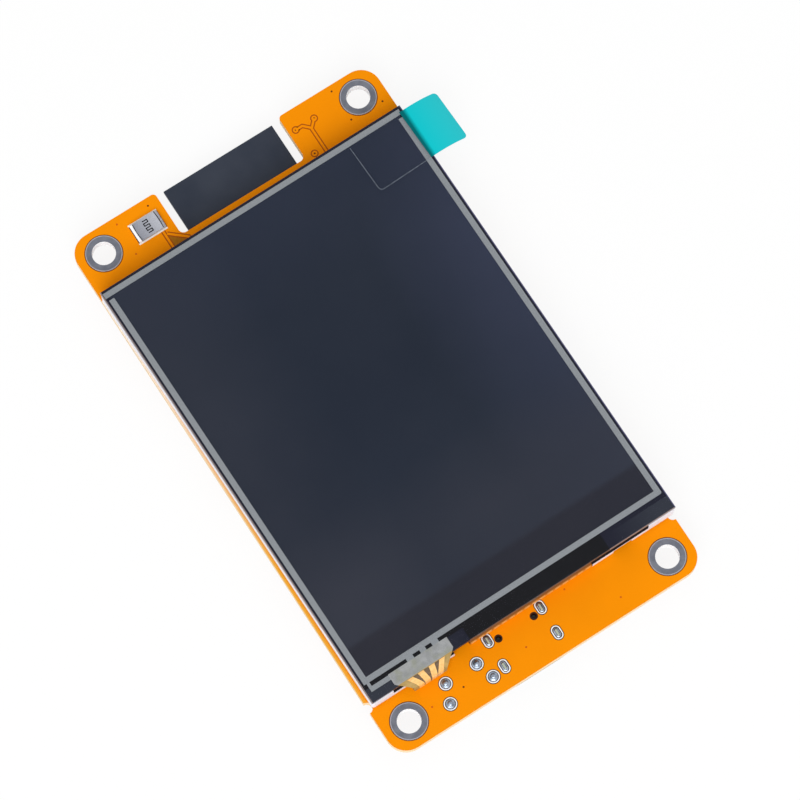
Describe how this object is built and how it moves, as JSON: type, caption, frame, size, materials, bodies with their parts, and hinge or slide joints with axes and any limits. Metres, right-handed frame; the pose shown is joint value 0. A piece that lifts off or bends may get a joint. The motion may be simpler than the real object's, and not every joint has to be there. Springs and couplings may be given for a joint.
{
  "type": "tft display board",
  "caption": "Orange controller board with a touch display on its front, a radio module in an end notch, plated corner holes, data ports behind one edge and a teal pull tab on the screen film.",
  "frame": {"origin": "middle of the four mounting holes, on the board's front face", "axes": "+Z out of the screen, +Y towards the radio module's antenna end, +X to the right of the screen"},
  "size_m": [0.0554, 0.086, 0.0094],
  "materials": {
    "orange_mask": "satin solder mask over glass-fibre board",
    "black_mask": "matt black solder mask",
    "tin": "tinned or plain steel sheet, satin",
    "solder": "bright solder",
    "gold_plate": "gold-plated contacts",
    "white_plastic": "white moulded plastic and film",
    "ivory_plastic": "ivory moulded plastic",
    "black_plastic": "black moulded plastic",
    "clear_sheet": "clear glass or film",
    "dark_sheet": "dark glossy screen film",
    "silver_print": "printed silver ink",
    "amber_flex": "amber flexible circuit",
    "teal_film": "teal printed film",
    "grey_tape": "foam tape",
    "ceramic": "fired ceramic"
  },
  "bodies": {
    "board": {"circuit_board": "orange_mask", "plated_holes": "tin", "solder_joints": "solder", "light_sensor": "ceramic", "light_sensor_ends": "tin", "mounting_tape": "grey_tape", "reflector_film": "white_plastic", "backlight_frame": "white_plastic", "led_strip": "white_plastic", "backlight_leds": "white_plastic", "light_guide": "clear_sheet", "diffuser_films": "white_plastic", "rear_polariser": "dark_sheet", "tft_glass": "clear_sheet", "colour_filter_glass": "clear_sheet", "front_polariser": "dark_sheet", "driver_chip": "black_plastic", "ledge_tape": "black_plastic", "display_flex": "amber_flex", "seal_tape": "black_plastic", "touch_glass": "clear_sheet", "touch_silver": "silver_print", "touch_film": "dark_sheet", "touch_flex": "amber_flex", "protective_film": "dark_sheet", "tab_tape": "clear_sheet", "pull_tab": "teal_film", "radio_board": "black_mask", "radio_shield": "tin", "antenna_trace": "gold_plate", "wide_port_shell": "tin", "wide_port_insert": "black_plastic", "wide_port_contacts": "gold_plate", "small_port_shell": "tin", "small_port_insert": "black_plastic", "small_port_contacts": "gold_plate", "card_slot_cover": "tin", "card_slot_base": "black_plastic", "card_slot_contacts": "gold_plate", "power_socket": "ivory_plastic", "sensor_socket": "ivory_plastic", "io_socket": "ivory_plastic", "speaker_socket": "ivory_plastic", "socket_pins": "tin", "boot_switch_base": "black_plastic", "boot_switch_cover": "tin", "boot_dome": "tin", "reset_switch_base": "black_plastic", "reset_switch_cover": "tin", "reset_dome": "tin", "logic_chips": "black_plastic", "regulator": "black_plastic", "transistors": "black_plastic", "chip_leads": "tin", "capacitors": "ceramic", "resistors": "black_plastic", "passive_ends": "tin", "status_led": "white_plastic"},
    "boot_key": {"boot_button": "black_plastic"},
    "reset_key": {"reset_button": "black_plastic"}
  },
  "joints": [
    {"name": "boot_press", "type": "slide", "parent": "board", "child": "boot_key", "axis": [0, 0, 1], "range_m": [0, 0.00025], "stiffness_N_per_m": 6400, "deforming": ["boot_dome"]},
    {"name": "reset_press", "type": "slide", "parent": "board", "child": "reset_key", "axis": [0, 0, 1], "range_m": [0, 0.00025], "stiffness_N_per_m": 6400, "deforming": ["reset_dome"]}
  ]
}
